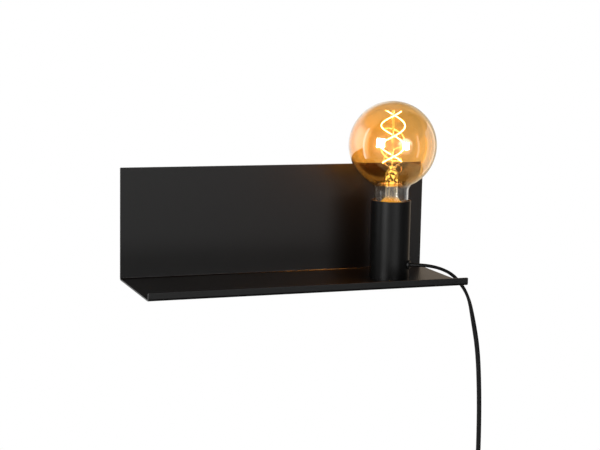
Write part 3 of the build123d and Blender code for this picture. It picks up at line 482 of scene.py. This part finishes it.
route = bpy.data.curves.new("cord_route", "CURVE")
route.dimensions = "3D"
route.resolution_u = 5
spline = route.splines.new("NURBS")
spline.points.add(len(points) - 1)
for knot, point in zip(spline.points, points):
    knot.co = (*point, 1.0)
spline.order_u = 3
spline.use_endpoint_u = True
route_object = bpy.data.objects.new("cord_route", route)
centres = [vertex.co.copy() for vertex in bpy.data.meshes.new_from_object(route_object).vertices]
bpy.data.objects.remove(route_object)

twist_top, twist_low = -0.080, -0.150
section_steps = 20
edge_sharpness = 4


def cord_section(angle):
    """A point of the flat section: half-round edges joined by flats, across and then through the cord."""
    flat = (cord_width - cord_thickness) / 2
    across = math.cos(angle)
    return (
        math.copysign(flat, across) * min(1.0, edge_sharpness * abs(across)) + cord_thickness / 2 * across,
        cord_thickness / 2 * math.sin(angle),
    )


def smooth(low, high, value):
    """A smooth step from 0 at one level to 1 at another."""
    share = min(1.0, max(0.0, (value - low) / (high - low)))
    return share * share * (3 - 2 * share)


def new_piece(name, vertices, faces, body="lamp"):
    """A smooth mesh piece that rides on a body."""
    mesh = bpy.data.meshes.new(name)
    mesh.from_pydata(vertices, [], faces)
    mesh.shade_smooth()
    piece = bpy.data.objects.new(name, mesh)
    bpy.context.scene.collection.objects.link(piece)
    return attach(piece, body)


def ring_faces(rings, around):
    """Faces of a closed tube: quads between rings and a cap at each end."""
    faces = []
    for ring in range(rings - 1):
        for step in range(around):
            near = ring * around
            after = (step + 1) % around
            faces.append((near + step, near + after, near + around + after, near + around + step))
    faces.append(tuple(reversed(range(around))))
    faces.append(tuple(range((rings - 1) * around, rings * around)))
    return faces


cord_vertices = []
for place_number, centre in enumerate(centres):
    before = centres[max(place_number - 1, 0)]
    after = centres[min(place_number + 1, len(centres) - 1)]
    heading = (after - before).normalized()
    twist = math.pi / 2 * (1 - smooth(twist_low, twist_top, centre.z))
    broad = Vector((math.sin(twist), math.cos(twist), 0.0))
    broad = (broad - heading * broad.dot(heading)).normalized()
    thin = heading.cross(broad)
    for step in range(section_steps):
        across, through = cord_section(2 * math.pi * step / section_steps)
        cord_vertices.append(centre + broad * across + thin * through)
cord = new_piece("flat_cord", cord_vertices, ring_faces(len(centres), section_steps))

jacket, shader, place = new_finish("cord_jacket", {"Specular IOR Level": 0.3})
bloom = place.noise(150.0, 3.0)
bloom.blend(grey(0.004), grey(0.007)).feed(shader, "Base Color")
(0.38 + 0.16 * bloom).feed(shader, "Roughness")
place.noise(2200.0).bump(0.00004).feed(shader, "Normal")
cord.data.materials.append(jacket)
unlit = glow_lamp.light_linking.receiver_collection
unlit.objects.link(cord)
unlit.collection_objects[-1].light_linking.link_state = "EXCLUDE"
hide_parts("cord_run", "cord_coil", "cord_inner")

# Switch: two moulded half shells screwed together on the cord, with a rocker on a steel pin between
# them and brass contacts behind it.
dress(zinc, "rocker_pin", "switch_screws")
dress(brass, "switch_contacts")

# Tie: a strap of black hook-and-loop tape, wrapped once round the coil and pressed onto its own end.
# It keeps the turns together where they lie side by side.
tie_low, tie_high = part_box("cord_tie")
tie_middle = (tie_low + tie_high) / 2
tape = 0.0008
tape_edge = 0.00025
tape_round = 0.0022
tape_lap = 0.014
lap_start, lap_climb = 0.4, 3
half_x = (tie_high.x - tie_low.x - tape) / 2
half_y = (tie_high.y - tie_low.y - tape) / 2
half_z = (tie_high.z - tie_low.z) / 2
corner_steps = 6
loop = []
for quarter in range(4):
    corner_x = math.copysign(half_x - tape_round, math.cos(math.pi / 4 + quarter * math.pi / 2))
    corner_y = math.copysign(half_y - tape_round, math.sin(math.pi / 4 + quarter * math.pi / 2))
    for step in range(corner_steps + 1):
        angle = math.pi / 2 * (quarter + step / corner_steps)
        way = Vector((math.cos(angle), math.sin(angle), 0.0))
        loop.append((Vector((corner_x, corner_y, 0.0)) + way * tape_round, way))
wrap = list(loop)
for number, (spot, way) in enumerate(loop[: corner_steps + 1]):
    lift = lap_start + (1 - lap_start) * min(1, number / lap_climb)
    wrap.append((spot + way * tape * lift, way))
tail_spot, tail_way = wrap[-1]
wrap.append((tail_spot + Vector((-tape_lap / 2, 0.0, 0.0)), tail_way))
tape_vertices = []
for spot, way in wrap:
    for side, level in ((-1, -1), (1, -1), (1, 1), (-1, 1)):
        offset = way * tape / 2 * side + Vector((0.0, 0.0, half_z * level))
        tape_vertices.append(tie_middle + spot + offset)
tie = new_piece("coil_tie", tape_vertices, ring_faces(len(wrap), 4))
rounding = tie.modifiers.new("edges", "BEVEL")
rounding.width = tape_edge
rounding.segments = 2
fabric, shader, place = new_finish("loop_tape", {"Sheen Weight": 0.3, "Specular IOR Level": 0.2})
fuzz = place.noise(2600.0, 3.0)
fuzz.blend(grey(0.008), grey(0.03)).feed(shader, "Base Color")
(0.75 + 0.2 * fuzz).feed(shader, "Roughness")
fuzz.bump(0.0004).feed(shader, "Normal")
tie.data.materials.append(fabric)
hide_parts("cord_tie")

# Plug: a flat two-pin body moulded onto the cord, with a ribbed relief round the cord above it, and
# nickel-plated pins sleeved in plastic for half their length.
relief_low, relief_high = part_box("plug_relief")
relief_axis = (relief_low + relief_high) / 2
relief_foot_r = (relief_high.x - relief_low.x) / 2
relief_tip_r = 0.0035
rib_count, rib_depth, relief_steps = 6, 0.0007, 24
relief_rings = [(0.0, relief_foot_r)]
for rib in range(rib_count):
    for share, drop in ((0.10, 0.0), (0.52, 0.0), (0.62, rib_depth), (0.98, rib_depth)):
        height = (rib + share) / rib_count
        radius = relief_foot_r + (relief_tip_r - relief_foot_r) * height
        relief_rings.append((height, radius - drop))
relief_rings.append((1.0, relief_tip_r))
relief_vertices = []
for height, radius in relief_rings:
    level = relief_low.z + (relief_high.z - relief_low.z) * height
    for step in range(relief_steps):
        angle = 2 * math.pi * step / relief_steps
        spot = (relief_axis.x + radius * math.cos(angle), relief_axis.y + radius * math.sin(angle), level)
        relief_vertices.append(spot)
relief = new_piece("plug_ribbed_relief", relief_vertices, ring_faces(len(relief_rings), relief_steps))

grip_drop, grip_half, grip_pitch = 0.004, 0.0080, 0.0026
grip_middle = (plug_low.z + plug_high.z) / 2 - grip_drop
moulding, shader, place = new_finish("plug_moulding", {"Specular IOR Level": 0.42})
level = place.along("Z") - grip_middle
ribs = place.math("SINE", level * (2 * math.pi / grip_pitch))
grip = 1 - abs(level).rise(grip_half - 0.0005, grip_half)
skin = place.noise(2800.0)
skin.blend(grey(0.005), grey(0.008)).feed(shader, "Base Color")
(0.40 + 0.14 * skin).feed(shader, "Roughness")
(0.5 * ribs * grip + 0.05 * skin).bump(0.0006).feed(shader, "Normal")
dress(moulding, "plug_body")
relief.data.materials.append(rubber)
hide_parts("plug_relief")

turned_per_metre = 24000.0
pin_metal, shader, place = new_finish("nickel_plug_pins", {"Metallic": 1.0})
turning = place.math("SINE", place.along("Z") * turned_per_metre)
scuffs = place.stretched(900.0, 900.0, 60.0).noise(1.0, 3.0)
scuffs.blend((0.68, 0.66, 0.60, 1.0), (0.58, 0.55, 0.48, 1.0)).feed(shader, "Base Color")
(0.18 + 0.2 * scuffs).feed(shader, "Roughness")
turning.bump(0.000006).feed(shader, "Normal")
dress(pin_metal, "plug_pins")

on_cord = ["switch_base", "switch_cover", "switch_rocker", "rocker_pin", "switch_contacts", "switch_screws"]
on_cord += ["plug_body", "plug_pins", "pin_sleeves"]
[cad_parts[node] for node in on_cord] + [tie, relief]

# Floor: a round sheet of pale paper well below the plug, out of the photograph's frame. It keeps the
# lamp's shadow, shows paler to the camera than it is lit, and fades to white at its edge.
floor_gap = 0.06
floor_level = cad_box[0][2] - floor_gap
floor_r, floor_steps = 1.0, 96
fade_start, fade_end = 0.35, 0.75
paleness = 0.80
floor_vertices = []
for step in range(floor_steps):
    angle = 2 * math.pi * step / floor_steps
    floor_vertices.append((floor_r * math.cos(angle), floor_r * math.sin(angle), floor_level))
floor_mesh = bpy.data.meshes.new("pale_floor")
floor_mesh.from_pydata(floor_vertices, [], [tuple(range(floor_steps))])
floor = bpy.data.objects.new("pale_floor", floor_mesh)
bpy.context.scene.collection.objects.link(floor)
floor.visible_glossy = False
paper, shader, place = new_finish("pale_paper", {"Specular IOR Level": 0.1, "Roughness": 0.8})
fibre = place.noise(500.0, 3.0)
fibre.blend(grey(0.80), grey(0.84)).feed(shader, "Base Color")
flat_place = place.stretched(1.0, 1.0, 0.0)
reach = place.node("ShaderNodeVectorMath", {"operation": "LENGTH"}, {0: flat_place}, output=1)
white = place.node("ShaderNodeEmission", {}, {"Color": grey(1.0), "Strength": 1.0})
lit = Wire(place.tree, shader.outputs[0])
looked_at = place.node("ShaderNodeLightPath", {}, {}, output=0)
pale = reach.rise(fade_start, fade_end) | (paleness * looked_at)
faded = place.node("ShaderNodeMixShader", {}, {0: pale, 1: lit, 2: white})
faded.feed(place.tree.nodes["Material Output"], "Surface")
floor_mesh.materials.append(paper)


# Studio: a white room behind the lamp, and one softbox that lights it from the left. Its gloss mirrors
# two pale walls in front of it and a warm one behind it on the right. The squares, the strips and the
# panel stand where the globe alone mirrors them.
def aim(spot, target):
    """The turn that points a lamp from a spot at a target."""
    return (Vector(target) - Vector(spot)).to_track_quat("-Z", "Y")


globe_low, globe_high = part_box("bulb_globe")
globe_middle = Vector((sleeve_axis.x, sleeve_axis.y, globe_high.z - (globe_high.x - globe_low.x) / 2))
mirrors = bpy.data.collections.new("mirroring_glass")
mirrors.objects.link(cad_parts["bulb_globe"])
for name, spot, width, height, power, for_glass in (
    ("left_softbox", (-1.51, -1.19, 0.36), 0.84, 0.84, 16.0, False),
    ("left_square", (-1.48, -1.17, 0.35), 0.76, 0.76, 50.0, True),
    ("right_square", (0.47, -2.03, 0.14), 0.64, 0.67, 36.0, True),
    ("left_strip", (-1.00, 0.20, 0.10), 0.14, 1.50, 1.3, True),
    ("right_strip", (0.97, -0.90, 0.06), 0.12, 1.00, 0.4, True),
    ("right_panel", (1.31, 0.10, -0.06), 1.00, 1.30, 2.8, True),
):
    box = bpy.data.lights.new(name, "AREA")
    box.shape = "RECTANGLE"
    box.size = width
    box.size_y = height
    box.energy = power
    lamp = bpy.data.objects.new(name, box)
    lamp.location = spot
    lamp.rotation_euler = aim(spot, globe_middle).to_euler()
    bpy.context.scene.collection.objects.link(lamp)
    if for_glass:
        lamp.light_linking.receiver_collection = mirrors
        lamp.visible_transmission = False

world = bpy.data.worlds.new("studio")
bpy.context.scene.world = world
world.use_nodes = True
tree = world.node_tree
background = tree.nodes["Background"]
rays = tree.nodes.new("ShaderNodeLightPath")
way = Wire(tree, tree.nodes.new("ShaderNodeTexCoord").outputs["Generated"])
seen = Wire(tree, rays.outputs["Is Camera Ray"])
mirrored = Wire(tree, rays.outputs["Is Glossy Ray"])
through = Wire(tree, rays.outputs["Is Transmission Ray"])
side, ahead, upward = (way.along(axis) for axis in "XYZ")


def toward(x, y, z, edge, full):
    """A mask of the directions that lie near one direction."""
    return (x * side + y * ahead + z * upward).rise(edge, full)


white_back, dim_air, pale_left = 0.9, 0.14, 0.34
right_low, right_more = 0.95, 3.5
dark_below, dark_above = 0.75, 0.8
soft_light = 0.32
warm_paint = (0.60, 0.49, 0.38, 1.0)
behind = (ahead - 0.40 * (side | 0.0)).rise(-0.10, 0.14)
below = 1 - upward.rise(-0.80, -0.25)
above = upward.rise(0.35, 0.65)
left_wall = toward(-0.574, -0.819, 0.0, 0.68, 0.90)
left_glow = toward(-0.83, 0.54, 0.16, 0.84, 1.02)
right_wall = toward(0.156, -0.988, 0.0, 0.910, 0.965)
right_wall = right_wall * upward.rise(-0.40, -0.25) * (1 - upward.rise(0.35, 0.62))
right_wall = right_wall * (right_low + right_more * upward.rise(0.02, 0.20))
room = (white_back * behind + left_glow) | (dim_air + pale_left * left_wall) | right_wall
room = room * (1 - dark_below * below) * (1 - dark_above * above)
beyond = behind | room
lit_softly = (1 - (mirrored | through)) * soft_light
(seen | (mirrored * room) | (through * beyond) | lit_softly).feed(background, "Strength")
back_right = side.rise(0.25, 0.42) * ahead.rise(0.0, 0.3)
(mirrored * (1 - through) * back_right).blend(grey(1.0), warm_paint).feed(background, "Color")

# Camera: stands a metre and a half from the lamp, to its left and a little above it, with a lens of
# about 84 mm on a 36 mm sensor.
image_width, focal_pixels = 600, 1398.2
lens = bpy.data.cameras.new("camera")
lens.sensor_width = 36.0
lens.lens = lens.sensor_width * focal_pixels / image_width
camera = bpy.data.objects.new("camera", lens)
camera.location = (-0.5068, -1.4426, 0.1881)
yaw, pitch, roll = math.radians(20.42), math.radians(-8.15), math.radians(1.09)
forward = Vector((math.sin(yaw) * math.cos(pitch), math.cos(yaw) * math.cos(pitch), math.sin(pitch)))
camera.rotation_euler = (forward.to_track_quat("-Z", "Y") @ Quaternion((0.0, 0.0, 1.0), roll)).to_euler()
bpy.context.scene.collection.objects.link(camera)
bpy.context.scene.camera = camera
bpy.context.scene.view_settings.view_transform = "Standard"
